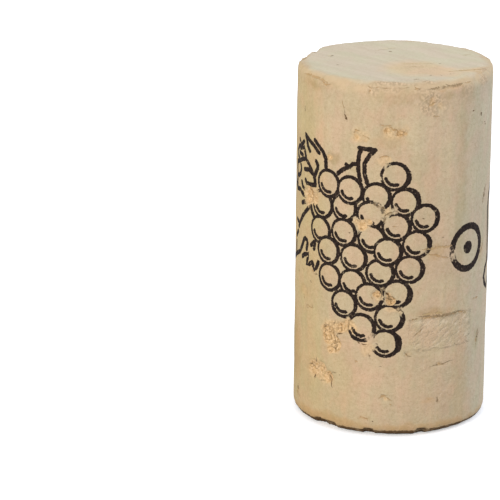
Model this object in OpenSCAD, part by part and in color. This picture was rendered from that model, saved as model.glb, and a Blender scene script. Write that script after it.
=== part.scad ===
// Natural wine cork, printed on its side with a bunch of grapes.
// Frame: the origin is the centre of the base, +Z runs up the cork, and -Y faces the front of the print.
// A place on the side is [u, v]: u is the way round from the front, positive to the right,
// and v is the height above the middle of the cork.

/* [Cork] */
// Diameter of the cork before it is squeezed into a bottle
cork_d = 24; // [22:0.5:30]
// Length of the cork
cork_h = 44.5; // [38:0.5:60]
// Radius of the round on the top rim
top_round = 0.5; // [0.3:0.1:1.5]
// Radius of the round on the base rim
base_round = 1.1; // [0.3:0.1:1.5]

/* [Print] */
// Depth to which the ink soaks into the cork
ink_depth = 0.1; // [0.05:0.05:0.3]
// Outer diameter of a berry's outline
berry_d = 3.75; // [3.5:0.05:4]
// Diameter of the bare cork inside the outline
berry_open_d = 2.85; // [2.4:0.05:3.2]
// How far the bare round sits to the left, so the outline is heavier on the right
berry_shift = 0.1; // [0:0.05:0.15]
// Width of the stroke that marks a berry's shine
shine_w = 0.44; // [0.2:0.02:0.5]
// Radius of that stroke's middle line
shine_r = 1.08; // [0.9:0.02:1.2]
// Width of the lines of the stem
stem_w = 0.56; // [0.3:0.02:0.7]
// Width of the lines of the leaf
line_w = 0.6; // [0.3:0.02:0.7]
// Width of the bolder outline of the leaf's far side
leaf_edge_w = 0.7; // [0.4:0.05:1]
// Outer diameter of the round mark beside the bunch
mark_d = 6.2; // [4:0.2:7]
// Diameter of the bare round inside the mark
mark_open_d = 4.5; // [3:0.1:5.2]
// Diameter of the dot at the middle of the mark
mark_dot_d = 1.6; // [0.8:0.1:2.2]

/* [Wear] */
// Width of the thin slits in the bark grain
slit_w = 0.25; // [0.15:0.05:0.5]
// Depth of the ledge that runs across the front
ledge_depth = 0.25; // [0.1:0.05:0.6]
// Height over which the worn side runs out again below the ledge
ledge_h = 5.5; // [2:0.5:8]
// How far below the top face the ledge of its rim lies
rim_ledge_drop = 0.35; // [0.2:0.05:0.6]
// Height over which the rim is worn below that ledge
rim_ledge_h = 1; // [0.5:0.1:3]
// How far in from the side the chips of the top rim reach
chip_in = 1.2; // [0.8:0.1:2]
// How far in from the side the nicks of the base rim reach
nick_in = 1.6; // [1.2:0.1:3]

/* [Hidden] */
$fn = 64;
cork_r = cork_d / 2;
mid_h = cork_h / 2;
// Prints repeat on opposite sides of the cork.
print_turns = [0, 180];
mark_place = [10.7, 0.9];
// How far a cutter stands clear of the surface that it cuts
clear = 1;

// Berries of the bunch, the ones behind first.
berries = [
    [0.3, 10.8], [-1.9, 8.2], [-6.1, 6.4], [0.6, 4.5], [-9.5, 6.2], [-2.6, 5.9],
    [-2.4, 2.9], [-9.8, 2.9], [-8.5, 9], [-5.3, 8.7], [1.6, 7.6], [4.1, 5.5],
    [-6.1, 3.3], [3.1, 2.3], [-4.8, -2.9], [-1.3, -1.3], [-0.4, 1.4], [-8.4, 0.6],
    [-4.7, 0.3], [2.3, -0.8], [-8.1, -2.7], [-2.6, -4.4], [0.8, -3.9], [-5.9, -5.7],
    [-0.1, -7], [-3.5, -8.4], [-0.5, -10.2]
];
// Directions from a berry's middle in which its shine starts and ends
shine_from = 195;
shine_to = 290;
// Straight steps in the curve of a shine
shine_steps = 4;
// A round in front covers the one behind it only where they overlap by more than this.
least_cover = 0.1;

// Lines of the stem: its two sides, the cut end and the twig to the left berries.
stem_lines = [
    [[-4, 13.9], [-4.2, 13.3], [-4.3, 12.4], [-4.3, 11.4], [-4, 10]],
    [[-2.4, 13.9], [-2.9, 13.3], [-3.5, 12.2], [-3.5, 11], [-3.1, 9.8]],
    [[-4.2, 14.1], [-3.1, 14], [-2.2, 14]],
    [[-7.1, 10.5], [-6.4, 11.1], [-5.7, 11.5]],
    [[-5.9, 11.8], [-5.4, 11.6], [-5, 12], [-4.3, 12.1]]
];

// Lines of the vine leaf: its top lobe, its left side, the lobes below, and then its veins.
leaf_lines = [
    [[-13.2, 14.1], [-12.9, 13.5], [-12.6, 12.8], [-12.1, 12.3]],
    [[-13.2, 14.1], [-12.4, 13.7], [-11.2, 13.2], [-10.2, 12.5]],
    [[-11, 13.9], [-10.3, 13.4], [-9.4, 12.7], [-9, 11.9], [-8.9, 10.7]],
    [[-15.3, 13], [-14.6, 12.5], [-15.6, 12.1], [-16.2, 11.4], [-15.9, 10.8], [-15.2, 10.5]],
    [[-13.7, 13.1], [-14.6, 12.5]],
    [[-15, 12], [-13.6, 12.4], [-13.4, 11.9], [-13.1, 11.2]],
    [[-15.2, 11.4], [-14.1, 11.3]],
    [[-16.2, 10], [-15, 10.4], [-14.1, 10.8], [-13.1, 11.1], [-12.3, 10.6], [-11.7, 10], [-11.1, 9.4], [-10.9, 8.3]],
    [[-16.2, 10], [-16.3, 9.1], [-16.1, 8.4], [-16.2, 7.6], [-16.2, 6.6]],
    [[-16.4, -1.9], [-14.7, -1.1], [-14, -0.2], [-13.4, 0.8], [-13.1, 1], [-12.6, 0.9], [-12.5, 0.5], [-12.7, -0.3]],
    [[-13.8, -1.5], [-13.3, -1.1], [-12.2, -0.8], [-12.4, -1.4], [-12.6, -2.2], [-12, -2], [-11.3, -1.6]],
    [[-11.3, -1.6], [-11.1, -2], [-10.9, -2.4], [-10.4, -2], [-10.1, -1.3]],
    [[-14.8, 10], [-14.5, 9.5], [-14.8, 8.8], [-15.5, 8.4], [-16.1, 8.4]],
    [[-13.4, 9.7], [-12.3, 9.9], [-11.5, 9.6]],
    [[-10.7, 11.3], [-10.4, 10.9], [-10.4, 10.5], [-10.8, 9.8], [-11.1, 9.2]],
    [[-13.2, 8.4], [-12.8, 8.1], [-11.9, 8.1], [-10.9, 8.3]],
    [[-14.3, 7.9], [-14, 7.4], [-13.3, 6.9]],
    [[-16.2, 6.6], [-14.9, 6.8], [-13.9, 6.4], [-12.7, 6.4]],
    [[-14.1, 5.3], [-12.7, 5.8]],
    [[-18.6, 5.4], [-18.2, 4.6], [-18.2, 3.6]],
    [[-11.8, 5.5], [-12.7, 4.7], [-13.7, 3.8], [-14.6, 2.8], [-15.2, 2]],
    [[-16, 2.7], [-15.2, 2.5]],
    [[-15.5, 1.3], [-16.2, 0.6]],
    [[-16.3, -0.2], [-16.4, -0.9], [-16.4, -1.9]],
    [[-11.8, 5.5], [-11.5, 4.9], [-11.1, 4.3]],
    [[-18.6, 1], [-19.2, -0.6], [-20, -2.4]],
    [[-11.6, 0.5], [-10.8, 1.2]],
    [[-11, 0.2], [-10.8, 1.2]]
];

// Bolder outline of the leaf's far side.
leaf_edge = [
    [-16.3, 6.8], [-17.8, 7.7], [-19.6, 7.4], [-20.9, 6.2], [-21.4, 4.6], [-21.3, 2.9], [-21.1, 1], [-20.9, -1.2],
    [-21, -2.3], [-21.8, -3], [-22.4, -4.1], [-21.9, -5], [-20.9, -5.7], [-19.6, -4.6], [-18.2, -2.9], [-16.6, -2]
];

// Hollows left where bark has torn out of the side: [u, v, width, depth].
side_pits = [
    // Large open pits low on the left
    [-8.1, -10.2, 2.4, 0.5], [-7.1, -11, 2.2, 0.45], [-7.7, -11.8, 1.6, 0.35], [-8.8, -9.5, 1, 0.2],
    [-6.2, -8.8, 1.5, 0.35], [-5.4, -8.4, 1.1, 0.25],
    [-10.6, -15, 2.4, 0.35], [-9.3, -14.6, 1.8, 0.3], [-8.1, -15.7, 2, 0.35], [-11.5, -15.5, 1.2, 0.2],
    // Pits inside the bunch and the leaf
    [-12.1, 6.8, 2.2, 0.4], [-11, 6.5, 1.8, 0.22], [-13.3, 6.7, 1.4, 0.2],
    [-3.7, 4.4, 1.5, 0.3], [-2.8, 4.9, 1, 0.2],
    [-1.7, -4.1, 1.1, 0.3], [-0.3, -4.1, 0.9, 0.22], [0, -4.7, 1.3, 0.4],
    [-0.7, 13, 1, 0.12], [-8.3, 12.3, 1.2, 0.2],
    // Crumbly patches above the bunch and below the rim
    [-0.9, 16.3, 1.3, 0.2], [0.7, 16.1, 1.4, 0.25], [1.5, 15.9, 0.8, 0.2],
    [-4.5, 15.5, 1.2, 0.2], [-3.5, 15.2, 0.9, 0.15],
    [4.6, 20, 1.6, 0.14], [5.6, 19.3, 1.4, 0.12],
    // Single small ones
    [-13, -5.6, 2, 0.12], [2.2, -11.7, 0.8, 0.2], [-0.5, -17.3, 0.9, 0.15]
];

// Small pits in the top face: [x, y, width, depth].
top_pits = [
    [-8.1, 1.9, 0.8, 0.25], [-7, -2.6, 0.8, 0.25], [-1.3, 6.3, 0.7, 0.2], [-0.6, 6.8, 0.6, 0.2],
    [4.4, -7.4, 0.7, 0.2], [6.8, -6, 0.8, 0.25],
    [2, -2.4, 2.6, 0.1], [3.8, -4.4, 2.2, 0.1]
];

// Slits that follow the grain: [u, v, length, turn from level, depth].
slits = [
    [-6, 17.7, 1.1, -50, 0.6], [6.3, -17.9, 0.9, 75, 0.4], [13.5, -11.4, 1.8, 60, 0.4],
    [-15, -19.3, 1.2, 70, 0.4], [13, 16.8, 0.8, -20, 0.5], [14.1, 15.5, 0.8, -60, 0.4],
    [6.6, -13.4, 2.8, -3, 0.15], [14.4, 6.7, 2, 64, 0.25]
];

// Ledges that run level round the side: [first u, last u, v, height, depth].
ledges = [
    [2.5, 11.5, -7.3, ledge_h, ledge_depth / 2],
    [4, 10, -7.2, ledge_h, ledge_depth],
    [6, 10.3, mid_h - rim_ledge_drop, rim_ledge_h, ledge_depth]
];

// Chips in the top rim, each a direction from the front and a share of the full chip.
rim_chips = [[-107, 1], [-158, 0.9], [150, 0.7], [2, 1]];
// Lean of a chip from upright
chip_lean = 45;

// Nicks in the base rim: [first u, last u, height].
nicks = [[-10.6, -6.8, 1], [-3, -1.9, 0.9], [3.6, 4.9, 1]];

function turn_of(u) = u / cork_r * 180 / PI;

// Puts its children on the side at [u, v], their X to the right, their Y up and their Z outwards.
module on_side(u, v) {
    rotate([0, 0, turn_of(u)])
        translate([0, -cork_r, mid_h + v])
            rotate([90, 0, 0])
                children();
}

// A flat print shape as a bar that runs through the skin of the cork.
module stamp(u, v) {
    on_side(u, v)
        translate([0, 0, -clear])
            linear_extrude(2 * clear)
                children();
}

// Outline of a line of even width through the points, with round ends.
function heading(p, i) =
    let (a = p[max(i - 1, 0)], b = p[min(i + 1, len(p) - 1)])
    atan2(b[1] - a[1], b[0] - a[0]);
function ribbon(p, w) = let (last = len(p) - 1) [
    for (i = [0 : last]) p[i] + w / 2 * [sin(heading(p, i)), -cos(heading(p, i))],
    for (a = [-45 : 45 : 45]) p[last] + w / 2 * [cos(heading(p, last) + a), sin(heading(p, last) + a)],
    for (i = [last : -1 : 0]) p[i] - w / 2 * [sin(heading(p, i)), -cos(heading(p, i))],
    for (a = [135 : 45 : 225]) p[0] + w / 2 * [cos(heading(p, 0) + a), sin(heading(p, 0) + a)]
];

// A drawn line, bent round the cork from the middle of its own points.
module drawn(p, w) {
    low = min([for (q = p) q[0]]);
    high = max([for (q = p) q[0]]);
    middle = (low + high) / 2;
    stamp(middle, 0)
        polygon(ribbon([for (q = p) [q[0] - middle, q[1]]], w));
}

// The whole round of a berry, the bare round inside its outline and its shine.
module berry_round(place) {
    stamp(place[0], place[1])
        circle(d = berry_d);
}
module berry_open(place) {
    stamp(place[0] - berry_shift, place[1])
        circle(d = berry_open_d);
}
module berry_shine(place) {
    step = (shine_to - shine_from) / shine_steps;
    arc = [for (a = [shine_from : step : shine_to]) shine_r * [cos(a), sin(a)]];
    stamp(place[0] - berry_shift, place[1])
        polygon(ribbon(arc, shine_w));
}

// The bunch: rounds in front cover the bare rounds behind them.
module bunch() {
    difference() {
        union() {
            for (place = berries)
                berry_round(place);
            for (line = stem_lines)
                drawn(line, stem_w);
            for (line = leaf_lines)
                drawn(line, line_w);
            drawn(leaf_edge, leaf_edge_w);
        }
        for (i = [0 : len(berries) - 1])
            difference() {
                berry_open(berries[i]);
                berry_shine(berries[i]);
                for (j = [i + 1 : 1 : len(berries) - 1])
                    if (norm(berries[j] - berries[i]) < (berry_d + berry_open_d) / 2 - least_cover)
                        berry_round(berries[j]);
            }
    }
}

// A plain ring with a dot.
module round_mark() {
    stamp(mark_place[0], mark_place[1])
        difference() {
            circle(d = mark_d);
            circle(d = mark_open_d);
        }
    stamp(mark_place[0], mark_place[1])
        circle(d = mark_dot_d);
}

// Skin of the cork that the ink fills, from its inner face out to an outer radius.
module ink_skin(outer_r) {
    intersection() {
        difference() {
            cylinder(h = cork_h, r = outer_r);
            translate([0, 0, -clear])
                cylinder(h = cork_h + 2 * clear, r = cork_r - ink_depth);
        }
        for (turn = print_turns)
            rotate([0, 0, turn]) {
                bunch();
                round_mark();
            }
    }
}

// A round dish: the cap of a sphere as wide and as deep as asked.
module dish(width, depth) {
    ball_r = (width * width / 4 + depth * depth) / (2 * depth);
    translate([0, 0, ball_r - depth])
        sphere(r = ball_r);
}

// A thin blade standing on the surface, which leaves a slit of the given length and depth.
module blade(length, depth) {
    wheel_r = (length * length / 4 + depth * depth) / (2 * depth);
    translate([0, 0, wheel_r - depth])
        rotate([90, 0, 0])
            cylinder(h = slit_w, r = wheel_r, center = true);
}

// A cut round part of the side, from one place to another, with the given section.
module side_cut(from_u, to_u, section) {
    rotate([0, 0, turn_of(from_u) - 90])
        rotate_extrude(angle = turn_of(to_u - from_u))
            polygon(section);
}

module ledge(from_u, to_u, v, height, depth) {
    top = mid_h + v;
    side_cut(from_u, to_u, [
        [cork_r - depth, top], [cork_r + depth / 3, top - height],
        [cork_r + clear, top - height], [cork_r + clear, top]
    ]);
}

module nick(from_u, to_u, height) {
    side_cut(from_u, to_u, [
        [cork_r - nick_in, -clear], [cork_r + clear, -clear],
        [cork_r + clear, height], [cork_r - nick_in / 2, height]
    ]);
}

// A flat chip that leans out from the top face to the side.
module rim_chip(turn, share) {
    rotate([0, 0, turn])
        translate([0, -cork_r + chip_in * share, cork_h])
            rotate([chip_lean, 0, 0])
                translate([-cork_r, -cork_d, 0])
                    cube([cork_d, 2 * cork_d, cork_d]);
}

module wear() {
    for (p = side_pits)
        on_side(p[0], p[1])
            dish(p[2], p[3]);
    for (s = slits)
        on_side(s[0], s[1])
            rotate([0, 0, s[3]])
                blade(s[2], s[4]);
    for (g = ledges)
        ledge(g[0], g[1], g[2], g[3], g[4]);
    for (p = top_pits)
        translate([p[0], p[1], cork_h])
            dish(p[2], p[3]);
    for (n = nicks)
        nick(n[0], n[1], n[2]);
    for (c = rim_chips)
        rim_chip(c[0], c[1]);
}

module blank() {
    rotate_extrude()
        union() {
            square([cork_r - max(top_round, base_round), cork_h]);
            translate([0, base_round])
                square([cork_r, cork_h - top_round - base_round]);
            translate([0, cork_h - top_round])
                square([cork_r - top_round, top_round]);
            square([cork_r - base_round, base_round]);
            translate([cork_r - top_round, cork_h - top_round])
                circle(r = top_round);
            translate([cork_r - base_round, base_round])
                circle(r = base_round);
        }
}

module cork() {
    color("burlywood")
        difference() {
            blank();
            wear();
            ink_skin(cork_r + clear / 2);
        }
}

module grape_print() {
    color("#2d2628")
        difference() {
            ink_skin(cork_r);
            wear();
        }
}

cork();
grape_print();
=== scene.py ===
"""A natural wine cork, printed on its side with a bunch of grapes, standing on its base.

The cork is punched from bark in one piece, so there is one piece to dress. The sections follow
its making: the punched and tumbled blank, the wear, the creases, the print, the stains and the
finish, and then the studio.
"""
import math

import bmesh
import bpy
from mathutils import Matrix, Vector, noise
from mathutils.bvhtree import BVHTree
from mathutils.kdtree import KDTree


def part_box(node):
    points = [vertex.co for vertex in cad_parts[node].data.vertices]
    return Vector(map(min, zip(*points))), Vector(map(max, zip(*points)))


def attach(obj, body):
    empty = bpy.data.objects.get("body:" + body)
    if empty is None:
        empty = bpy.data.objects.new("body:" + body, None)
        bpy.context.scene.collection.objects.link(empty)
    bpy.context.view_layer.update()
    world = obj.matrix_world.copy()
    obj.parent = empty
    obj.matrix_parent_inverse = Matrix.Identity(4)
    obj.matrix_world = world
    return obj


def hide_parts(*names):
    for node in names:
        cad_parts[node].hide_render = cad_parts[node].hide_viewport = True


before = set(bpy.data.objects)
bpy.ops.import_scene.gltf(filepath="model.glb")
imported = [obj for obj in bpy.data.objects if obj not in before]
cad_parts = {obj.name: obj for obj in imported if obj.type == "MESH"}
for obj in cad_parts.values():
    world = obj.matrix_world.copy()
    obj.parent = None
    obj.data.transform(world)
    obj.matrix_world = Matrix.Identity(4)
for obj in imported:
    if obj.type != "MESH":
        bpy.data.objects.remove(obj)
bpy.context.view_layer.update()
MM = 0.001

# ---------------------------------------------------------------------------------------------
# The blank.
# A plug of bark, cut out with a round punch and sawn square at both ends. Tumbling in a drum
# then rounds its two rims. The rows of faces are close enough to carry the small torn pits.
# ---------------------------------------------------------------------------------------------
cork_low, cork_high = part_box("cork")
CORK_RADIUS = (cork_high.x - cork_low.x) / 2
CORK_LENGTH = cork_high.z - cork_low.z
TOP_ROUND = 0.5 * MM
BASE_ROUND = 1.0 * MM
RIM_STEPS = 4
FACES_ROUND = 384
ROW_CUTS = 13
# An edge is level when its ends differ in height by less than this, in metres, and upright when
# it rises more than this many times as far as it runs sideways
LEVEL_WITHIN = 1e-6
UPRIGHT_RISE = 10
QUAD_CORNERS = 4

bpy.ops.object.select_all(action="DESELECT")
bpy.ops.mesh.primitive_cylinder_add(
    vertices=FACES_ROUND, radius=CORK_RADIUS, depth=CORK_LENGTH,
    location=(0, 0, cork_low.z + CORK_LENGTH / 2))
cork = bpy.context.object
cork.name = "printed_cork"
cork.data.name = "printed_cork"
bpy.ops.object.transform_apply(location=True, rotation=True, scale=True)


def select_edges(obj, wanted):
    """Leaves selected only the edges for which wanted(first corner, second corner) is true."""
    bpy.ops.mesh.select_mode(type="EDGE")
    bpy.ops.mesh.select_all(action="DESELECT")
    mesh = bmesh.from_edit_mesh(obj.data)
    for edge in mesh.edges:
        edge.select = wanted(edge.verts[0].co, edge.verts[1].co)
    mesh.select_flush_mode()
    bmesh.update_edit_mesh(obj.data)


def is_upright(a, b):
    return abs(a.z - b.z) > UPRIGHT_RISE * math.hypot(a.x - b.x, a.y - b.y)


def is_level_at(height):
    return lambda a, b: max(abs(a.z - height), abs(b.z - height)) < LEVEL_WITHIN


bpy.ops.object.mode_set(mode="EDIT")
for height, rim_round in ((cork_low.z, BASE_ROUND), (cork_high.z, TOP_ROUND)):
    select_edges(cork, is_level_at(height))
    bpy.ops.mesh.bevel(offset=rim_round, segments=RIM_STEPS, affect="EDGES")
for _ in range(2):
    select_edges(cork, is_upright)
    bpy.ops.mesh.subdivide(number_cuts=ROW_CUTS)
for height in (cork_low.z, cork_high.z):
    bpy.ops.mesh.select_mode(type="FACE")
    bpy.ops.mesh.select_all(action="DESELECT")
    mesh = bmesh.from_edit_mesh(cork.data)
    for face in mesh.faces:
        off = abs(face.calc_center_median().z - height)
        face.select = len(face.verts) > QUAD_CORNERS and off < LEVEL_WITHIN
    bmesh.update_edit_mesh(cork.data)
    bpy.ops.mesh.delete(type="ONLY_FACE")
    select_edges(cork, is_level_at(height))
    bpy.ops.mesh.fill_grid(span=FACES_ROUND // QUAD_CORNERS)
bpy.ops.mesh.select_all(action="SELECT")
bpy.ops.mesh.normals_make_consistent(inside=False)
bpy.ops.object.mode_set(mode="OBJECT")
bpy.ops.object.shade_smooth()

# ---------------------------------------------------------------------------------------------
# The wear.
# Bark is full of small pores, and where the punch met one the skin tore out in crumbs. The solid
# gives every pit, slit, ledge and chipped rim its place and depth, and the edges are torn here.
# ---------------------------------------------------------------------------------------------
LIFT = 0.3 * MM
DEEPEST = 2.5 * MM
# The torn edges wander this far over this distance, and a few times finer and less on top of that
TEAR_STEP = 1.3 * MM
TEAR_SWING = 0.3 * MM
TEAR_FINER = 3
# Hollows no deeper than this are only the flats between the corners of the solid
SOLID_STEP = 0.012 * MM
FULL_DEPTH = 0.3 * MM
RIM_REACH = 1.3 * MM
FULL_RIM = 0.3
# Past this upward lean the surface belongs to an end and no longer to the side
END_LEAN = 0.5
# The front of the top rim is rubbed rounder than the rest of it, more so the more it faces front
FRONT_RIM_ROUND = 1.5 * MM
RUBBED_FACING = (-0.2, 0.9)
# The worn strip below the ledge on the front, in millimetres round from the front and up from
# the middle: it is wrinkled, where every other hollow is crumbly. Its sides fade over this far.
WRINKLED_STRIP = ((2.0, -13.0), (12.0, -7.2))
STRIP_SIDE_FADE = 1
STRIP_FOOT_FADE = 3
STRIP_TOP_FADE = 0.2
# Small slits with clean edges, too fine for the faces, which the creases below draw instead as dark
# lines, painted shade in place of their hollows: their middles and widths in millimetres. They are
# filled up to one share of the width from the middle, and left alone past the other.
FILLED_SLIT = (0.35, 0.6)
fine_slits = [((-6, 17.8), 2.4), ((12.9, 17), 1.8), ((14, 15.6), 1.6), ((6.3, -17.9), 2.2)]
# The foot's nicks are crushed rather than cut, so their sides and tops are round: their middles,
# half widths and how much of their depth is left
FOOT_NICK = 0.3 * MM
FOOT_TURN = 0.75 * MM
FOOT_REACH = 3
foot_nicks = [(-8.7, 2.0, 1), (-2.45, 0.8, 0.5), (4.25, 0.9, 0.6)]


def solid_tree(names):
    """A search tree over the triangles of the named solids."""
    corners, triangles = [], []
    for name in names:
        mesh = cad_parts[name].data
        start = len(corners)
        corners += [v.co.copy() for v in mesh.vertices]
        triangles += [[start + i for i in face.vertices] for face in mesh.polygons]
    return BVHTree.FromPolygons(corners, triangles)


def smooth_step(low, high, value):
    t = min(max((value - low) / (high - low), 0), 1)
    return t * t * (3 - 2 * t)


def outwards(place):
    return Vector((place.x, place.y, 0)).normalized()


def on_side(round_mm, up_mm):
    """The place on the side so many millimetres round from the front and up from the middle."""
    turn = round_mm * MM / CORK_RADIUS
    return Vector((CORK_RADIUS * math.sin(turn), -CORK_RADIUS * math.cos(turn),
                   (cork_low.z + cork_high.z) / 2 + up_mm * MM))


def round_and_up(place):
    """Millimetres round from the front and up from the middle."""
    return (math.atan2(place.x, -place.y) * CORK_RADIUS / MM,
            (place.z - (cork_low.z + cork_high.z) / 2) / MM)


def inside_strip(place):
    """1 inside the wrinkled strip and 0 outside it, with soft sides."""
    (left, bottom), (right, top) = WRINKLED_STRIP
    u, v = round_and_up(place)
    return (smooth_step(left, left + STRIP_SIDE_FADE, u)
            * smooth_step(right, right - STRIP_SIDE_FADE, u)
            * smooth_step(bottom, bottom + STRIP_FOOT_FADE, v)
            * smooth_step(top, top - STRIP_TOP_FADE, v))


def kept_depth(place):
    """How much of its depth a hollow keeps at this place, from 0 to 1."""
    u, v = round_and_up(place)
    kept = 1
    filled, open_from = FILLED_SLIT
    for slit, width in fine_slits:
        kept *= smooth_step(filled * width, open_from * width, math.dist((u, v), slit))
    up = max(place.z - cork_low.z - FOOT_TURN, 0)
    if up < FOOT_REACH * FOOT_NICK:
        middle, half_width, share = min(foot_nicks, key=lambda nick: abs(u - nick[0]))
        kept *= share * smooth_step(1, 0.5, math.hypot((u - middle) / half_width, up / FOOT_NICK))
    if place.y < 0:
        kept *= smooth_step(0, FRONT_RIM_ROUND, cork_high.z - place.z)
    return kept


def rubbed_rim(place):
    """The place, drawn in to the rounder rim that the top has at the front."""
    facing = smooth_step(*RUBBED_FACING, -place.y / CORK_RADIUS)
    rim_round = TOP_ROUND + (FRONT_RIM_ROUND - TOP_ROUND) * facing
    middle = outwards(place) * (CORK_RADIUS - rim_round)
    middle.z = cork_high.z - rim_round
    off = place - middle
    if off.z <= 0 or off.dot(outwards(place)) <= 0 or off.length <= rim_round:
        return place
    return middle + off.normalized() * rim_round


solids = solid_tree(["cork", "grape_print"])
blank_places = [v.co.copy() for v in cork.data.vertices]
blank_normals = [v.normal.copy() for v in cork.data.vertices]
depths = []
for place, normal in zip(blank_places, blank_normals):
    tear = noise.noise_vector(place / TEAR_STEP) * TEAR_SWING
    tear += noise.noise_vector(place / TEAR_STEP * TEAR_FINER) * TEAR_SWING / TEAR_FINER
    tear -= tear.dot(normal) * normal
    start = place + tear + normal * LIFT
    hit = solids.ray_cast(start, -normal, DEEPEST)
    depth = 0 if hit[0] is None else hit[3] - LIFT
    bent = CORK_RADIUS - math.hypot(place.x + tear.x, place.y + tear.y)
    depth -= min(bent, 0) if abs(normal.z) < END_LEAN else 0
    depth *= kept_depth(place)
    depths.append(depth * smooth_step(SOLID_STEP, 3 * SOLID_STEP, depth))
torn = cork.vertex_groups.new(name="torn")
rims = cork.vertex_groups.new(name="rims")
strip = [inside_strip(place) if depth > 0 else 0 for place, depth in zip(blank_places, depths)]
crumbly = []
for vertex, place, normal, depth, wrinkled in zip(
        cork.data.vertices, blank_places, blank_normals, depths, strip):
    vertex.co = rubbed_rim(place - normal * depth)
    rim_gap = max(CORK_RADIUS - math.hypot(place.x, place.y),
                  min(place.z - cork_low.z, cork_high.z - place.z))
    on_rim = smooth_step(RIM_REACH, FULL_RIM * RIM_REACH, rim_gap)
    crumbly.append(min(depth / FULL_DEPTH, 1) * (1 - wrinkled) * (1 - on_rim))
    if crumbly[-1] > 0:
        torn.add([vertex.index], crumbly[-1], "REPLACE")
    if on_rim > 0:
        rims.add([vertex.index], on_rim, "REPLACE")


def roughen(obj, name, step, depth, group=""):
    """Pushes the surface in by up to the given depth, in lumps about as wide as step."""
    lumps = bpy.data.textures.new(name, "CLOUDS")
    lumps.noise_scale = step
    lumps.noise_depth = 2
    push = obj.modifiers.new(name, "DISPLACE")
    push.texture = lumps
    push.texture_coords = "LOCAL"
    push.strength = depth
    push.mid_level = 1
    push.vertex_group = group
    bpy.ops.object.modifier_apply(modifier=name)


roughen(cork, "uneven_tumbling", 5 * MM, 0.12 * MM)
roughen(cork, "grain", 0.8 * MM, 0.025 * MM)
roughen(cork, "crumbs", 0.5 * MM, 0.16 * MM, group="torn")
roughen(cork, "chipping", 1.2 * MM, 0.14 * MM, group="rims")

# ---------------------------------------------------------------------------------------------
# The creases.
# Cracks, seams and scratches too fine for the solid, drawn along a few places each. Face corners
# learn how far off a crease's middle line they lie, as a share of its half width.
# ---------------------------------------------------------------------------------------------
CREASE_STEP = 0.05
CREASE_REACH = 0.5 * MM
CREASE_END = 0.12 * MM
LEAST_HALF_WIDTH = 0.012
FAR_OFF = 9.0
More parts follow.
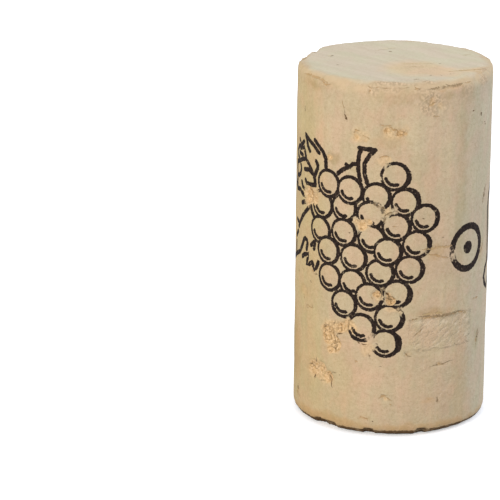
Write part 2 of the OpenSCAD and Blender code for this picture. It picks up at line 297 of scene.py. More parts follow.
# Each crease: its tone, from 0 for an open crack, dark with painted shade inside it, to 1 for a
# faint tan seam, its width, and the places it runs through, in millimetres round from the front and
# up from the middle.
creases = [
    # In and round the large torn hollows low on the left
    (0.35, 0.3, (-9, -9.4), (-8.6, -9), (-8, -8.9)),
    (0.5, 0.22, (-7.4, -8.8), (-7.1, -8.2)),
    (0.1, 0.26, (-6.1, -9.5), (-6.6, -9.7), (-6.75, -10), (-6.7, -10.5)),
    (0.5, 0.2, (-7.9, -11.7), (-7.4, -11.8), (-7.1, -11.7)),
    (0.4, 0.25, (-5.3, -8.1), (-5.4, -8.6), (-5.2, -9.1)),
    (0.5, 0.3, (-11.6, -14.8), (-11.2, -14.8)),
    (0.5, 0.22, (-10.5, -14.3), (-10.2, -13.9), (-10.1, -13.5)),
    (0.6, 0.2, (-9.3, -13.8), (-9.2, -14)),
    (0.05, 0.34, (-10.4, -15.7), (-10.45, -16.3)),
    (0.35, 0.22, (-9.3, -16.3), (-8.8, -16.2)),
    (0.25, 0.22, (-8.1, -15.5), (-7.8, -15.9), (-7.6, -16.3), (-7.4, -16.8)),
    (0.4, 0.2, (-7.6, -15), (-7.3, -14.8), (-6.9, -14.8)),
    # Near the base
    (0.78, 0.28, (-1.2, -17.3), (-0.8, -17), (-0.2, -16.9)),
    (0.78, 0.24, (-0.2, -17.2), (0.1, -17.4), (0.3, -17.5)),
    (0.7, 0.2, (0.2, -18), (0.4, -18.1)),
    (0.05, 0.3, (-14.9, -18.7), (-14.7, -19.1)),
    (0.7, 0.3, (-14.5, -19.5), (-14.2, -19.9)),
    (0.3, 0.2, (6.7, -21.2), (6.8, -21.3)),
    (0.75, 0.25, (-3.7, -20.1), (-3.2, -19.9), (-2.6, -20.1), (-2.5, -20.3)),
    # Specks on the front
    (0.4, 0.24, (-2.5, -11.8), (-2.35, -12.3)),
    (0.0, 0.24, (-3.9, -10.2), (-3.7, -10.5)),
    (0.8, 0.4, (-4.4, -12.6), (-4, -12.9)),
    (0.45, 0.14, (1.9, -11.4), (2.3, -11.8), (2.7, -11.9)),
    (0.8, 0.2, (-12.3, -7.3), (-11.6, -7.4), (-10.9, -7.3)),
    # Between the leaf and the base on the left
    (0.72, 0.3, (-11.35, -2.65), (-10.85, -2.7)), (0.3, 0.26, (-10.75, -2.95), (-10.25, -2.85)),
    (0.7, 0.3, (-13.25, -6.55), (-12.95, -6.7)), (0.6, 0.24, (-12.5, -7.35), (-12.3, -7.45)),
    (0.6, 0.22, (-12.25, -7.65), (-12.1, -7.6)), (0.6, 0.26, (-11.2, -7.1), (-11, -7.3)),
    (0.55, 0.24, (-15, -3.6), (-14.8, -3.8)), (0.55, 0.22, (-13.7, -3), (-13.5, -3.05)),
    (0.5, 0.24, (-11.6, -4.05), (-11.35, -4.15)),
    # Above the bunch
    (0.7, 0.16, (-6.6, 19.6), (-6.4, 18.7)),
    (0.45, 0.16, (-6.3, 18.9), (-6.2, 18.2)),
    (0.05, 0.36, (-6.25, 18.1), (-6.1, 17.8), (-5.9, 17.3)),
    (0.4, 0.35, (-13.6, 17.5), (-13.6, 16.8)),
    (0.78, 0.25, (-4.9, 15.8), (-4.7, 16.2), (-4.3, 16.2)),
    (0.74, 0.16, (-3.8, 15.7), (-3.4, 15.5), (-3, 15.3)),
    (0.75, 0.22, (-1.6, 17.1), (-1, 17), (-0.4, 17.1)),
    (0.75, 0.24, (-0.5, 16.9), (-0.1, 16.6), (0.4, 16.5)),
    (0.78, 0.26, (-1, 16.6), (-0.9, 16.2)),
    (0.78, 0.24, (0.4, 16.4), (0.6, 16.1)),
    (0.7, 0.28, (0.9, 16.3), (1.4, 16.1), (1, 15.95), (0.3, 15.9)),
    (0.78, 0.22, (-1.6, 13.1), (-1, 13.3), (-0.6, 13.2)),
    (0.4, 0.2, (-0.9, 12.4), (-0.6, 12.3)),
    (0.85, 0.2, (3.8, 19.1), (4.3, 19.4), (4.9, 19.7), (5.2, 19.8)),
    (0.85, 0.2, (4.8, 18.1), (5.5, 18)),
    # Over the torn leaf and berries, where the ink has gone with the bark
    (0.7, 0.5, (-12.3, 7.8), (-12.1, 7), (-12, 6.6)),
    (0.2, 0.34, (-2.4, 7.5), (-1.7, 7.05), (-1.2, 6.9), (-0.9, 6.3)),
    (0.3, 0.24, (-0.8, 5.8), (-0.95, 5.1)),
    (0.3, 0.24, (-0.9, 5.8), (-0.5, 6.2), (0.1, 6.4)),
    (0.7, 0.14, (0.1, 4.6), (0.6, 4.6)),
    (0.05, 0.4, (-0.6, -3.75), (-0.25, -4.1)),
    (0.35, 0.26, (-0.9, -3), (-0.75, -3.4), (-0.6, -3.8)),
    (0.2, 0.3, (0.1, -4.35), (0.5, -4.6)),
    (0.5, 0.2, (-0.2, -4.2), (-0.1, -4.7), (0.3, -4.9)),
    (0.4, 0.22, (-1.4, -3), (-1.1, -3.5), (-1.15, -4.4)),
    (0.5, 0.13, (1, -5.6), (1.35, -6)),
    (0.75, 0.14, (-2.2, -4), (-1.7, -3.9)),
    (0.75, 0.14, (-2.35, -4.3), (-2.1, -4.8)),
    # Along the top rim. The olive line on the left and the wide brown line at the front are partly
    # a brown seam and partly painted shadow under the rim's edge
    (0.82, 0.45, (-14.2, 21.5), (-12.6, 21.8), (-11, 21.8), (-9.8, 21.7), (-9, 21.4)),
    (0.74, 0.3, (-10, 21.5), (-9.2, 21.2), (-8.6, 21.3)),
    (0.7, 0.25, (-3.3, 22), (-2.9, 21.6), (-3.1, 21)),
    (0.74, 0.2, (-2.4, 21.8), (-1.9, 22)),
    (0.7, 0.2, (2.5, 22.1), (2.8, 21.5), (3.2, 21.7)),
    (0.52, 0.6, (4.2, 21.5), (5.2, 21.6), (6.2, 21.75), (7.2, 21.7), (8.2, 21.65), (9.2, 21.8)),
    (0.8, 0.22, (-1.6, 21.9), (-1, 21.7), (-0.4, 21.9)),
    (0.8, 0.2, (0.4, 21.9), (1, 21.8), (1.6, 22)),
    (0.74, 0.3, (2.4, 21.6), (3, 21.8)), (0.74, 0.25, (9.4, 21.9), (9.9, 21.7), (10.6, 21.8)),
    # On the right
    (0.0, 0.46, (12.75, 17.4), (12.9, 17)),
    (0.4, 0.25, (13.1, 16.2), (13.2, 16)),
    (0.1, 0.4, (13.85, 16), (14.1, 15.6)),
    (0.35, 0.3, (6.3, -17.5), (6.35, -18.2)),
    (0.4, 0.25, (13.7, 19.3), (13.8, 19.2)),
    (0.5, 0.3, (15, 7.9), (14.6, 6.9), (14, 5.7)),
    (0.7, 0.25, (11.9, -6), (12.4, -6.1), (13.4, -6.1)),
    (0.55, 0.3, (13.7, -10.2), (13.4, -10.8), (13.5, -11.2), (13.1, -11.7), (13.2, -12.3)),
    (0.85, 0.36, (3.8, 1.6), (4.8, 1.6), (6.2, 1.7), (7.4, 1.6), (8.2, 1.7)),
    (0.8, 0.26, (4.6, 0.9), (5.6, 0.8), (6.2, 0.5), (7.4, 0.2)),
    (0.6, 0.3, (14.5, 1), (14.2, 0.1), (13.6, -0.6)),
    # The ledge and the seams below it. The line along the ledge is partly a brown seam and partly
    # painted shade at its step; the faint wide line just above it is painted shade
    (0.45, 0.42, (3.6, -6.9), (4.6, -6.9), (5.6, -6.95), (6.6, -7.05), (7.4, -7.1), (8.2, -7.05),
     (9.6, -6.95)),
    (0.95, 0.5, (4, -6.7), (5.2, -6.6), (6.6, -6.75)),
    (0.4, 0.34, (2.3, -7.3), (2.6, -7.35)), (0.6, 0.2, (2.7, -7.3), (3.6, -7.05)),
    (0.9, 0.4, (10.2, -7.1), (10.9, -7.7)),
    (0.6, 0.16, (3.1, -9.3), (3.5, -9), (4.2, -8.4)),
    (0.5, 0.13, (5.3, -13.4), (6.4, -13.3), (7.1, -13.35), (7.9, -13.1), (8.5, -13.1)),
]
# The same on the top, where the places are across from and behind its middle
end_creases = [
    (0.2, 0.3, (-8.1, 1.9), (-7.6, 2.1)), (0.4, 0.3, (-7.2, -2.7), (-6.8, -2.6)),
    (0.7, 0.3, (-2.5, 5.4), (-1.5, 5.9), (-0.5, 6.5)), (0.5, 0.3, (4.2, -7.3), (4.4, -7.1)),
    (0.5, 0.25, (6.6, -6.3), (7, -6.1)), (0.3, 0.25, (5.3, -1.1), (5.5, -0.9)),
    (0.5, 0.3, (2.3, -9.4), (2.8, -9.1)),
    (0.8, 0.5, (6.4, -5), (7.6, -4.5), (8.8, -4.1), (10.2, -3.5), (10.8, -3.2)),
    (0.9, 0.3, (0.6, -1.6), (2.4, -1.3), (4.6, -1)),
    (0.9, 0.3, (1.2, -3.2), (2.4, -2.9), (3.6, -3)), (0.95, 0.3, (8.2, 3.6), (9.4, 4.2)),
]


def on_top(across_mm, along_mm):
    return Vector((across_mm * MM, along_mm * MM, cork_high.z))


crease_dots, crease_runs = [], []
for put, out_of, marks in ((on_side, outwards, creases),
                           (on_top, lambda place: Vector((0, 0, 1)), end_creases)):
    for tone, width, *through in marks:
        for first, last in zip(through, through[1:]):
            steps = max(round(math.dist(first, last) / CREASE_STEP), 1)
            run = (put(*last) - put(*first)).normalized()
            for step in range(steps + 1):
                share = step / steps
                before = math.dist(through[0], first) + share * math.dist(first, last)
                length = (before + (1 - share) * math.dist(first, last)
                          + math.dist(last, through[-1]))
                taper = math.sqrt(max(4 * before / length * (1 - before / length), 0))
                dot = put(*(a + (b - a) * share for a, b in zip(first, last)))
                across = run.cross(out_of(dot)).normalized()
                half_width = max(width / 2 * taper, LEAST_HALF_WIDTH) * MM
                crease_dots.append(dot)
                crease_runs.append((run, across, half_width, tone))
crease_tree = KDTree(len(crease_dots))
for i, dot in enumerate(crease_dots):
    crease_tree.insert(dot, i)
crease_tree.balance()

crease_off = cork.data.attributes.new("crease_off", "FLOAT", "CORNER")
crease_tone = cork.data.attributes.new("crease_tone", "FLOAT", "CORNER")
for face in cork.data.polygons:
    corners = [blank_places[i] for i in face.vertices]
    centre = sum(corners, Vector()) / len(corners)
    dot, found, gap = crease_tree.find(centre)
    run, across, half_width, tone = crease_runs[found]
    near = gap < CREASE_REACH and abs((centre - dot).dot(run)) < CREASE_END
    for loop, corner in zip(face.loop_indices, corners):
        crease_off.data[loop].value = (corner - dot).dot(across) / half_width if near else FAR_OFF
        crease_tone.data[loop].value = tone if near else 0

# ---------------------------------------------------------------------------------------------
# The print.
# A roller lays dark ink on the side, and it soaks in a tenth of a millimetre. Each face corner
# learns how far inside the ink it lies, so the edge of the ink stays sharp between corners.
# ---------------------------------------------------------------------------------------------
INK_REACH = 0.6 * MM
# A face of the ink that leans outwards by less than this is a wall, and the rest are its skin
WALL_LEAN = 0.5
ON_THE_LINE = 1e-9
# Spots where the roller missed or the ink has worn away: their widths in millimetres, and how far
# the ink is gone
worn_spots = [
    ((-0.8, 12.2), 1, 0.8), ((-1.7, 10.6), 1, 0.8), ((-1.6, 10.4), 1, 0.6), ((-5, 12.4), 0.8, 0.6),
    ((1.9, 11.2), 0.5, 0.5), ((-1.7, 7.2), 1.4, 0.9), ((-0.8, 6.2), 1.2, 0.9),
    ((-0.8, 5.4), 0.9, 1),
    ((-2.2, 8), 0.9, 0.8), ((0.2, 6.4), 1, 0.8), ((-4.3, 4.7), 1.6, 1), ((-3.1, 4.5), 1.4, 1),
    ((-4, 4), 0.9, 1), ((-1.2, -4.5), 1.1, 0.9), ((-0.9, -3.3), 0.6, 0.6), ((-0.4, -4.9), 0.8, 0.8),
    ((-5.35, -8.2), 1.6, 1), ((-2, -10.3), 1.3, 1), ((-2.5, -9.6), 1.3, 1),
    ((-2.3, -10.9), 0.8, 0.9),
    ((1.1, -5.9), 1.1, 0.9), ((0, -6.2), 1, 0.7), ((7.8, 1), 1.6, 0.8), ((8, 0.1), 1, 0.8),
    ((-12.2, 6.6), 2.6, 1), ((-10.6, 6.9), 1.4, 1), ((4.1, 1.5), 1.2, 0.7),
]
# Spots where the roller pressed hard and the ink has spread: width, height and strength
HEAVY_SPREAD = 0.17 * MM
heavy_spots = [
    ((1.35, -10.4), 1.6, 3.2, 1), ((1.75, -7.2), 1.2, 2.4, 0.7), ((2.9, 8.9), 1.8, 1.6, 0.8),
    ((5.9, 5.2), 1.2, 2.6, 0.6), ((2.1, 10.5), 1.2, 2.4, 0.6), ((4.9, 1.9), 1.2, 2.4, 0.6),
    ((4.1, -1.1), 1.2, 2.2, 0.6), ((2.6, -4.3), 1.2, 2.4, 0.7), ((-4.4, -10.1), 2.2, 1, 0.5),
    ((-7.3, -6.8), 1.6, 1.2, 0.5), ((3.5, 7.2), 1, 2, 0.5), ((-2.6, 14), 1, 0.8, 0.6),
]

ink_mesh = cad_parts["grape_print"].data
ink_corners = [v.co.copy() for v in ink_mesh.vertices]
ink_walls, ink_skin = [], []
for face in ink_mesh.polygons:
    leaning = face.normal.dot(outwards(face.center))
    if abs(leaning) < WALL_LEAN:
        ink_walls.append(list(face.vertices))
    elif leaning > 0:
        ink_skin.append(list(face.vertices))
ink_walls = BVHTree.FromPolygons(ink_corners, ink_walls)
ink_skin = BVHTree.FromPolygons(ink_corners, ink_skin)

ink_inside = cork.data.attributes.new("ink_inside", "FLOAT", "CORNER")
for face in cork.data.polygons:
    centre = sum((blank_places[i] for i in face.vertices), Vector()) / len(face.vertices)
    out = outwards(centre)
    centre = Vector((0, 0, centre.z)) + out * CORK_RADIUS
    edge, _, _, gap = ink_walls.find_nearest(centre, INK_REACH)
    covered = ink_skin.ray_cast(centre + out * LIFT, -out, 2 * LIFT)[0] is not None
    side = 1 if covered else -1
    if edge is None or gap < ON_THE_LINE:
        for loop in face.loop_indices:
            ink_inside.data[loop].value = side * INK_REACH
        continue
    slope = centre - edge
    slope = (slope - slope.dot(out) * out).normalized()
    for loop in face.loop_indices:
        corner = blank_places[cork.data.loops[loop].vertex_index]
        corner = Vector((0, 0, corner.z)) + outwards(corner) * CORK_RADIUS
        ink_inside.data[loop].value = side * (gap + (corner - centre).dot(slope))

# ---------------------------------------------------------------------------------------------
# The stains.
# Bark takes colour from the tree in soft patches and upright bands: tan where it was near the
# skin, grey where it has weathered. Some patches are painted light and shade as well: warm light
# on the left side, cool light on the right, a highlight below the ledge, shade in a band on the
# right, under the top rim and above the ledge, and a shadow low on the left edge. Each patch fades
# out from its middle.
# ---------------------------------------------------------------------------------------------
# Each patch: its middle, its width and height in millimetres, and how strong it is. On the side
# the middle is given round from the front and up from the middle, on an end across and along.
stains = {
    # Tan bark, and at (-15.8, -14.5) a painted shadow low on the left edge
    "tan_stain_and_shadow": [
        ((-0.5, 15.1), 5, 1.6, 0.4), ((-3.2, -20.1), 2, 1, 0.3), ((5, -18), 2, 0.8, 0.6),
        ((9.9, -16), 3.4, 13, 0.25), ((-15.8, -14.5), 4, 8, 0.55), ((-13, -5.6), 3, 2, 0.4),
        ((6, -6.8), 6, 1.2, 0.5), ((13.8, -0.2), 1.6, 2.6, 0.5), ((-11, 21), 6, 1.4, 0.4),
        ((0, 20.8), 7, 2.4, 0.3), ((7.4, 21.4), 5, 0.9, 0.9), ((-9, -21), 12, 1.6, 0.9),
        ((4, -21), 12, 1, 0.6), ((5.6, 1.2), 3.4, 1.8, 0.5),
    ],
    # Paler bark, and at (6, -7.7) a painted highlight along the strip just below the ledge
    "pale_stain_and_highlight": [
        ((4, 16.5), 7, 7, 0.9), ((14.5, 17.5), 3, 5, 0.7), ((6, -7.7), 8, 1.2, 1),
        ((3.4, 19.8), 1.8, 1.2, 0.8), ((6.2, 18.6), 1.6, 1.4, 0.8),
        ((-9, 16), 5, 8, 0.3), ((5, -3.5), 4, 5, 0.4), ((5, 19), 1.8, 1.6, 0.8),
        ((7, 12), 3.6, 22, 0.6), ((-15.5, 17), 4, 8, 0.9), ((7, -10), 3, 16, 0.3),
    ],
    # Yellow on the left side and grey on the right are partly the bark's colour and partly painted
    # light: warm light from the left and cool light from the right
    "yellow_stain_and_warm_light": [((-15, 0), 13, 60, 1), ((-8, -16), 9, 14, 0.45)],
    "grey_stain_and_cool_light": [((13.6, 9), 10, 50, 1), ((15, -14), 8, 26, 1)],
    # Olive patches of the bark, and painted shade: the upright band at 9.2 round, the band under
    # the top rim on the left and the strip above the ledge, with a painted shadow low on the left
    # edge
    "olive_stain_and_shade": [
        ((-7.7, 12.1), 2.2, 1.8, 0.9), ((9.2, 9), 1.8, 24, 0.35), ((3.9, 20.5), 1.6, 1, 0.9),
        ((9.2, 20.6), 0.8, 1.4, 0.7), ((5.6, -6.3), 5.5, 0.8, 0.5), ((6.9, 20.3), 2, 1, 0.6),
        ((13.3, -11.4), 1.6, 3, 0.5), ((-10.5, 21.4), 8, 1.3, 0.6), ((10.4, 20.4), 2, 3, 0.4),
        ((-4.8, 11.6), 1.2, 2, 0.4), ((-16.8, -13), 4, 9, 0.35),
    ],
    "crumbled": [
        ((-6.4, -8.7), 4.6, 1.6, 1), ((-5, -8.4), 1.7, 2, 1), ((-8.4, -9.6), 2, 1.4, 0.8),
        ((-7.4, -10.7), 2, 3, 0.9), ((-10.1, -14.9), 2.4, 3, 0.8),
        ((-8.7, -15.9), 3, 1.5, 0.7), ((-7.5, -16.1), 1.2, 1.8, 0.5), ((-2.6, -11), 2, 2.2, 0.5),
        ((0.2, 16.2), 3.4, 1.8, 0.6), ((-4.2, 15.6), 2, 1.6, 0.5), ((-3.7, 4.6), 2.6, 1.2, 0.9),
        ((-11.7, 6.7), 3.4, 2.6, 0.8), ((-1, 12.7), 1.8, 1.2, 0.6), ((-0.7, 6.6), 1, 1.2, 0.6),
        ((-1.4, -4.6), 1.2, 1.4, 0.6), ((0.1, -4.7), 1.1, 0.8, 0.5), ((0.3, -5.9), 2.2, 0.9, 0.6),
    ],
    "pink_stain": [
        ((-3.5, -13), 6, 10, 0.6), ((-9.5, 14.5), 3, 4, 0.7), ((5.5, 8), 3, 12, 0.4),
        ((7, 19), 3, 4, 0.6), ((7, 20.9), 4.6, 0.9, 1), ((5.4, 20.2), 3, 1.8, 0.9),
        ((4.2, 19), 1.8, 1.4, 0.8), ((-4.8, 15), 1.2, 1, 1), ((-15.5, -12), 2, 8, 0.8),
        ((2, -17.5), 4, 3, 0.5), ((0.5, 19), 3, 3, 0.4),
    ],
    "rubbed": [
        ((-2.7, 21.4), 2.2, 1.8, 0.8), ((-0.4, 21.6), 3, 1.4, 0.7), ((3.2, 21), 2.6, 1.4, 0.6),
        ((4.6, 20.3), 2.4, 1.2, 0.8), ((5.2, 19.2), 4, 2.6, 0.7), ((3.6, 19.4), 1.6, 1.2, 0.5),
        ((6, 21.5), 4, 0.5, 0.6), ((9.7, 20.7), 2, 1.8, 0.7), ((13.6, 21.6), 2.2, 2, 0.9),
        ((-9.5, 21.2), 3, 1.2, 0.4),
    ],
}
end_stains = {
    "tan_stain_and_shadow": [((2.4, -3.8), 8, 8, 1), ((6.2, -5.4), 5, 5, 0.8), ((10, -3.9), 4, 3, 1)],
    "rubbed": [
        ((-0.4, -11.3), 6, 1.5, 0.9), ((4.6, -10.4), 3, 1.6, 0.6), ((2.8, -4), 6, 8, 0.3),
        ((11, -3.6), 1.8, 3, 0.8), ((2.8, -9.8), 5, 2, 0.5),
    ],
}
# Where the side is a little wrinkled outside the worn strip
faint_wrinkles = [
    ((6, -7.8), 8, 1.6, 1), ((7, -16), 8, 7, 0.3), ((3, -12.5), 5, 3, 0.3), ((13, -2), 5, 6, 0.2),
]
# A patch is gone at this many times its half size, and at full strength inside this many
PATCH_FADE = (1.3, 0.5)
# Its edges wander this many times as far as the torn edges do
PATCH_SWING = 2
# In millimetres: how far in from its edge the sawn end shows, and how far below the top rim and
# above the base the hollows are crumbly
SAWN_FROM_EDGE = (0.3, 1.5)
TORN_BELOW_RIM = (0.6, 2.2)
TORN_ABOVE_BASE = (1.2, 2)
CRUMBLY_UNDER = 0.15
# Past this upward lean a place takes the stains of the end
FLAT_END = 0.95


def patch_strength(across, along, patches):
    total = 0
    for (middle_across, middle_along), wide, high, strength in patches:
        off = math.hypot((across - middle_across) * 2 / wide, (along - middle_along) * 2 / high)
        total += strength * smooth_step(*PATCH_FADE, off)
    return min(total, 1)


stains["ink_worn"] = [(spot, wide, wide, share) for spot, wide, share in worn_spots]
stains["ink_heavy"] = heavy_spots
for name in ("torn_depth", "wrinkled", "sawn_end", *stains):
    cork.data.attributes.new(name, "FLOAT", "POINT")
for vertex, place, normal, depth, wrinkled in zip(
        cork.data.vertices, blank_places, blank_normals, depths, strip):
    swung = place + noise.noise_vector(place / TEAR_STEP) * TEAR_SWING * PATCH_SWING
    from_edge = (CORK_RADIUS - math.hypot(swung.x, swung.y)) / MM
    below_rim = (cork_high.z - place.z) / MM
    torn_out = smooth_step(CRUMBLY_UNDER, 0, wrinkled) * smooth_step(*TORN_BELOW_RIM, below_rim)
    torn_out *= smooth_step(*TORN_ABOVE_BASE, (place.z - cork_low.z) / MM)
    row = {"torn_depth": depth / MM * torn_out,
           "wrinkled": max(wrinkled, patch_strength(*round_and_up(swung), faint_wrinkles)),
           "sawn_end": smooth_step(*SAWN_FROM_EDGE, from_edge) if abs(normal.z) > END_LEAN else 0}
    for name, patches in stains.items():
        if abs(normal.z) > FLAT_END:
            row[name] = patch_strength(swung.x / MM, swung.y / MM, end_stains.get(name, []))
        else:
            row[name] = patch_strength(*round_and_up(swung), patches)
    for name, value in row.items():
        cork.data.attributes[name].data[vertex.index].value = value

# ---------------------------------------------------------------------------------------------
# The finish.
# Bleached bark: a mottled tan side with fine upright streaks and dark pores, paler sawn ends,
# bright crumbly bark where it has torn, and dull black ink that misses the torn places.
# ---------------------------------------------------------------------------------------------
natural_cork = bpy.data.materials.new("natural_cork")
natural_cork.use_nodes = True
nodes, links = natural_cork.node_tree.nodes, natural_cork.node_tree.links
nodes.clear()
# Where a colour mix takes its share and its two colours
MIX_SOCKETS = (0, 6, 7)
# In millimetres above the base or below the top: how far the rims are rubbed brown, and how far
# the painted shade and dirt at the foot reach up and waver
BASE_RUBBED = (2.0, 0.9)
TOP_RUBBED = (1.8, 0.5)
FOOT_SHADE_AND_DIRT_REACH = (0.89, 0.79)
FOOT_SHADE_AND_DIRT_WAVER = 0.12
# How far the edge of the ink wavers and how soft it is, in millimetres
INK_WAVER = 0.035
INK_EDGE = (-0.03, 0.02)


def set_or_link(socket, value):
    if isinstance(value, bpy.types.NodeSocket):
        links.new(value, socket)
    else:
        socket.default_value = (*value, 1) if isinstance(value, tuple) else value


def mixed(share, first, second, blend="MIX"):
    """The second colour over the first, as much as share says."""
    mix = nodes.new("ShaderNodeMix")
    mix.data_type = "RGBA"
    mix.blend_type = blend
    for socket, value in zip(MIX_SOCKETS, (share, first, second)):
        set_or_link(mix.inputs[socket], value)
    return mix.outputs[2]


def times_colour(colour, tint):
    return mixed(1.0, colour, tint, blend="MULTIPLY")


def math_of(operation, first, second=0.0):
    made = nodes.new("ShaderNodeMath")
    made.operation = operation
    for socket, value in zip(made.inputs, (first, second)):
        set_or_link(socket, value)
    return made.outputs[0]


def times(*values):
    product = values[0]
    for value in values[1:]:
        product = math_of("MULTIPLY", product, value)
    return product


def ranged(value, low, high, to_low=0.0, to_high=1.0):
    """The value rescaled from low..high to to_low..to_high, smoothly and without running over."""
    made = nodes.new("ShaderNodeMapRange")
    made.interpolation_type = "SMOOTHSTEP"
    set_or_link(made.inputs["Value"], value)
    for name, number in (("From Min", low), ("From Max", high),
                         ("To Min", to_low), ("To Max", to_high)):
        set_or_link(made.inputs[name], number)
    return made.outputs["Result"]


def clouds(lump, detail=3.0, stretch=(1, 1, 1), turn=(0, 0, 0)):
    """Soft noise with lumps about so many millimetres across."""
    mapping = nodes.new("ShaderNodeMapping")
    mapping.vector_type = "TEXTURE"
    links.new(place, mapping.inputs["Vector"])
    mapping.inputs["Rotation"].default_value = [math.radians(a) for a in turn]
    mapping.inputs["Scale"].default_value = [MM * lump * s for s in stretch]
    made = nodes.new("ShaderNodeTexNoise")
    links.new(mapping.outputs["Vector"], made.inputs["Vector"])
    made.inputs["Scale"].default_value = 1
    made.inputs["Detail"].default_value = detail
    return made.outputs["Fac"]


def attribute(name):
    made = nodes.new("ShaderNodeAttribute")
    made.attribute_name = name
    return made.outputs["Fac"]


def veins(cloud, half_width):
    """1 along the thin wandering lines where the cloud passes its middle value."""
    off = math_of("ABSOLUTE", math_of("SUBTRACT", cloud, 0.5))
    return ranged(off, 0.3 * half_width, half_width, 1, 0)


place = nodes.new("ShaderNodeTexCoord").outputs["Object"]
split = nodes.new("ShaderNodeSeparateXYZ")
links.new(place, split.inputs[0])
height = split.outputs["Z"]

# Side of the cork
mottle = clouds(3.2, 4)
blotch = clouds(1.1, 3)
fine = clouds(0.4, 3)
streak = clouds(0.9, 4, stretch=(1, 1, 14))
speck = clouds(0.15, 2)
blush = clouds(1.9, 3, stretch=(1, 1, 1.6))
crumb = clouds(0.3, 5)
wrinkle = clouds(0.5, 2.5, stretch=(2.2, 2.2, 0.8), turn=(0, -30, 0))
side_colour = mixed(ranged(mottle, 0.35, 0.65), (0.57, 0.433, 0.285), (0.535, 0.413, 0.275))
side_colour = mixed(ranged(streak, 0.4, 0.7, 0, 0.45), side_colour, (0.485, 0.38, 0.255))
side_colour = mixed(ranged(fine, 0.5, 0.72, 0, 0.4), side_colour, (0.44, 0.325, 0.2))
side_colour = mixed(ranged(fine, 0.5, 0.3, 0, 0.4), side_colour, (0.62, 0.485, 0.33))
side_colour = mixed(ranged(speck, 0.5, 0.75, 0, 0.4), side_colour, (0.37, 0.26, 0.14))
side_colour = mixed(ranged(blush, 0.35, 0.65), times_colour(side_colour, (1.025, 0.98, 0.985)),
                    times_colour(side_colour, (0.975, 1.012, 0.985)))
for name, tint in (("tan_stain_and_shadow", (0.95, 0.84, 0.7)), ("pale_stain_and_highlight", (1.08, 1.1, 1.13)),
                   ("yellow_stain_and_warm_light", (1.0, 0.98, 0.81)), ("grey_stain_and_cool_light", (0.955, 1.03, 1.1)),
                   ("olive_stain_and_shade", (0.78, 0.77, 0.66)), ("pink_stain", (1.05, 0.985, 1.01))):
    side_colour = mixed(attribute(name), side_colour, times_colour(side_colour, tint))
wrinkled = attribute("wrinkled")
# Painted shade and highlight across the wrinkles: darker where their pattern is high, lighter where
# it is low
side_colour = mixed(times(wrinkled, ranged(wrinkle, 0.55, 0.7, 0, 0.5)), side_colour,
                    (0.43, 0.33, 0.21))
side_colour = mixed(times(wrinkled, ranged(wrinkle, 0.45, 0.3, 0, 0.7)), side_colour,
                    (0.7, 0.565, 0.41))
# Rims, rubbed brown
base_rim = ranged(height, *(cork_low.z + up * MM for up in BASE_RUBBED))
side_colour = mixed(times(base_rim, ranged(blotch, 0.35, 0.6, 0.2, 0.7)), side_colour,
                    (0.47, 0.31, 0.15))
top_rim = ranged(height, *(cork_high.z - down * MM for down in TOP_RUBBED))
side_colour = mixed(times(top_rim, ranged(blotch, 0.35, 0.6, 0.3, 0.8)), side_colour,
                    (0.60, 0.45, 0.28))
# Sawn ends
saw_marks = clouds(1.3, 3, stretch=(5, 1, 1), turn=(0, 0, -45))
end_colour = mixed(ranged(saw_marks, 0.35, 0.65), (0.625, 0.54, 0.395), (0.59, 0.505, 0.365))
end_colour = mixed(ranged(fine, 0.5, 0.75, 0, 0.3), end_colour, (0.48, 0.39, 0.26))
end_colour = mixed(ranged(clouds(3.5, 2), 0.35, 0.65),
                   times_colour(end_colour, (1.015, 0.985, 1.01)),
                   times_colour(end_colour, (0.985, 1.01, 0.985)))
end_colour = mixed(attribute("tan_stain_and_shadow"), end_colour, times_colour(end_colour, (1.11, 0.97, 0.83)))
bark = mixed(attribute("sawn_end"), side_colour, end_colour)
# Rubbed bark, rough but not torn out
rubbed = times(attribute("rubbed"), ranged(blotch, 0.3, 0.55, 0.3, 1))
rubbed_colour = mixed(ranged(crumb, 0.4, 0.62), (0.44, 0.325, 0.21), (0.65, 0.485, 0.32))
bark = mixed(rubbed, bark, rubbed_colour)
# Torn bark
hollow = ranged(attribute("torn_depth"), 0.04, 0.2)
crumbly = math_of("MAXIMUM", hollow, times(attribute("crumbled"), ranged(crumb, 0.3, 0.5, 0.5, 1)))
deep = ranged(attribute("torn_depth"), 0.12, 0.32)
crack = times(veins(clouds(0.9, 4), 0.025), deep)
torn_colour = mixed(ranged(crumb, 0.36, 0.64), (0.56, 0.365, 0.18), (0.76, 0.535, 0.31))
bark = mixed(crumbly, bark, torn_colour)
bark = mixed(times(crack, 0.45), bark, (0.24, 0.14, 0.05))
# Pores
pore = ranged(clouds(1.1, 2, stretch=(1, 1, 0.5)), 0.755, 0.785)
bark = mixed(pore, bark, (0.24, 0.14, 0.07))
# Creases
wander = ranged(clouds(0.25, 2), 0.3, 0.7, -0.6, 0.6)
crease_edge = math_of("ABSOLUTE", math_of("ADD", attribute("crease_off"), wander))
crease = times(ranged(crease_edge, 0.3, 1.3, 1, 0), ranged(clouds(0.5, 2), 0.36, 0.5, 0.35, 1))
crease_colour = mixed(ranged(attribute("crease_tone"), 0, 0.5), (0.10, 0.05, 0.016),
                      (0.25, 0.17, 0.09))
crease_colour = mixed(ranged(attribute("crease_tone"), 0.5, 0.75), crease_colour,
                      (0.42, 0.235, 0.09))
crease_colour = mixed(ranged(attribute("crease_tone"), 0.75, 1.0), crease_colour,
                      (0.45, 0.33, 0.16))
crease_strength = ranged(attribute("crease_tone"), 0, 1, 0.95, 0.6)
bark = mixed(times(crease, crease_strength), bark, crease_colour)
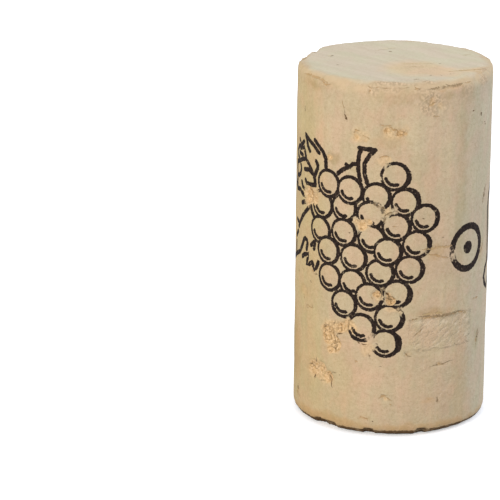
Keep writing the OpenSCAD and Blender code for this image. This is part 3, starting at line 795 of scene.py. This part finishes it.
# Painted shade where the edge that the cork stands on meets the floor, with some dirt on that edge
foot_shade_and_dirt = ranged(math_of("ADD", height, times(ranged(fine, 0.3, 0.7), FOOT_SHADE_AND_DIRT_WAVER * MM)),
                *(cork_low.z + up * MM for up in FOOT_SHADE_AND_DIRT_REACH))
bark = mixed(times(foot_shade_and_dirt, ranged(blotch, 0.3, 0.5, 0.6, 0.95)), bark, (0.095, 0.052, 0.022))
# Ink, which has crept a little way into the bark round every line
ragged = ranged(clouds(0.2, 2), 0.3, 0.7, -INK_WAVER * MM, INK_WAVER * MM)
ink_edge = math_of("ADD", math_of("ADD", attribute("ink_inside"), ragged),
                   times(attribute("ink_heavy"), HEAVY_SPREAD))
ink = ranged(ink_edge, *(inside * MM for inside in INK_EDGE))
missed = math_of("SUBTRACT", clouds(0.35, 3), times(attribute("ink_worn"), 0.36))
ink = times(ink, ranged(missed, 0.14, 0.4), ranged(hollow, 0.2, 0.6, 1, 0),
            ranged(crease, 0.3, 0.8, 1, 0.3))
ink_colour = mixed(ranged(clouds(0.3, 3), 0.4, 0.7), (0.014, 0.008, 0.006), (0.034, 0.02, 0.015))
colour = mixed(ink, bark, ink_colour)

# Relief: each pattern and how far it stands out, in millimetres
relief = times(speck, 0.03)
for lumps, reach in ((fine, 0.05), (streak, 0.06), (blotch, 0.08), (times(crumb, crumbly), 0.1),
                     (times(crumb, rubbed), 0.06), (times(wrinkle, wrinkled), 0.2),
                     (times(crumb, wrinkled), 0.1),
                     (times(saw_marks, attribute("sawn_end")), 0.03),
                     (crack, -0.08), (crease, -0.05), (pore, -0.1)):
    relief = math_of("ADD", relief, times(lumps, reach))
bump = nodes.new("ShaderNodeBump")
bump.inputs["Strength"].default_value = 1
bump.inputs["Distance"].default_value = MM
links.new(relief, bump.inputs["Height"])

shader = nodes.new("ShaderNodeBsdfPrincipled")
links.new(colour, shader.inputs["Base Color"])
links.new(ranged(fine, 0.3, 0.7, 0.8, 0.95), shader.inputs["Roughness"])
links.new(bump.outputs["Normal"], shader.inputs["Normal"])
shader.inputs["Specular IOR Level"].default_value = 0.2
surface = nodes.new("ShaderNodeOutputMaterial")
links.new(shader.outputs["BSDF"], surface.inputs["Surface"])

cork.data.materials.append(natural_cork)
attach(cork, "root")
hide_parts("cork", "grape_print")

# ---------------------------------------------------------------------------------------------
# The studio.
# A white sheet under soft light: a warm window at the left of the camera, a cool one behind on
# the right, and a pale sky. The sheet looks white to the camera and keeps the foot's shadow.
# ---------------------------------------------------------------------------------------------
SHEET_SIZE = 6.0
SHEET_GLOW = 0.4
SKY_STRENGTH = 0.9
bpy.ops.mesh.primitive_plane_add(size=SHEET_SIZE, location=(0, 0, cork_low.z))
sheet = bpy.context.object
sheet.name = "white_sheet"
paper = bpy.data.materials.new("white_paper")
paper.use_nodes = True
nodes, links = paper.node_tree.nodes, paper.node_tree.links
nodes.clear()
grey_paper = nodes.new("ShaderNodeBsdfDiffuse")
grey_paper.inputs["Color"].default_value = (0.6, 0.6, 0.6, 1)
pale_paper = nodes.new("ShaderNodeBsdfDiffuse")
pale_paper.inputs["Color"].default_value = (0.9, 0.9, 0.92, 1)
glow = nodes.new("ShaderNodeEmission")
glow.inputs["Strength"].default_value = SHEET_GLOW
bright_paper = nodes.new("ShaderNodeAddShader")
links.new(pale_paper.outputs[0], bright_paper.inputs[0])
links.new(glow.outputs[0], bright_paper.inputs[1])
seen = nodes.new("ShaderNodeLightPath")
either = nodes.new("ShaderNodeMixShader")
links.new(seen.outputs["Is Camera Ray"], either.inputs[0])
links.new(grey_paper.outputs[0], either.inputs[1])
links.new(bright_paper.outputs[0], either.inputs[2])
sheet_surface = nodes.new("ShaderNodeOutputMaterial")
links.new(either.outputs[0], sheet_surface.inputs["Surface"])
sheet.data.materials.append(paper)


def window(name, turn, rise, away, size, power, colour):
    """A soft square light that faces the middle of the cork, turned so far from the front."""
    turn, rise = math.radians(turn), math.radians(rise)
    towards = Vector((math.sin(turn) * math.cos(rise), -math.cos(turn) * math.cos(rise),
                      math.sin(rise)))
    lamp = bpy.data.lights.new(name, "AREA")
    lamp.size = size
    lamp.energy = power
    lamp.color = colour
    holder = bpy.data.objects.new(name, lamp)
    holder.location = Vector((0, 0, CORK_LENGTH / 2)) + towards * away
    holder.rotation_euler = towards.to_track_quat("Z", "Y").to_euler()
    bpy.context.scene.collection.objects.link(holder)


window("warm_window", -30, 20, 0.8, 0.4, 3.2, (1.0, 0.88, 0.68))
window("cool_window", 120, 20, 0.8, 0.4, 2.6, (0.85, 0.9, 1.0))

sky = bpy.data.worlds.new("studio")
sky.use_nodes = True
sky_light = sky.node_tree.nodes["Background"]
sky_light.inputs["Color"].default_value = (0.88, 0.93, 1, 1)
sky_light.inputs["Strength"].default_value = SKY_STRENGTH
bpy.context.scene.world = sky
bpy.context.scene.view_settings.view_transform = "Standard"

# The camera stands a little over an arm's length off and looks down on the cork from just above.
CAMERA_PLACE = (0, -0.3743, 0.1334)
LOOK_DOWN = math.radians(16.85)
TURN_LEFT = math.radians(2.69)
TILT = math.radians(0.46)
FOCAL_LENGTH = 226.4
lens = bpy.data.cameras.new("camera")
lens.lens = FOCAL_LENGTH
camera = bpy.data.objects.new("camera", lens)
camera.matrix_world = (
    Matrix.Translation(CAMERA_PLACE) @ Matrix.Rotation(TURN_LEFT, 4, "Z")
    @ Matrix.Rotation(math.pi / 2 - LOOK_DOWN, 4, "X") @ Matrix.Rotation(TILT, 4, "Z"))
bpy.context.scene.collection.objects.link(camera)
bpy.context.scene.camera = camera
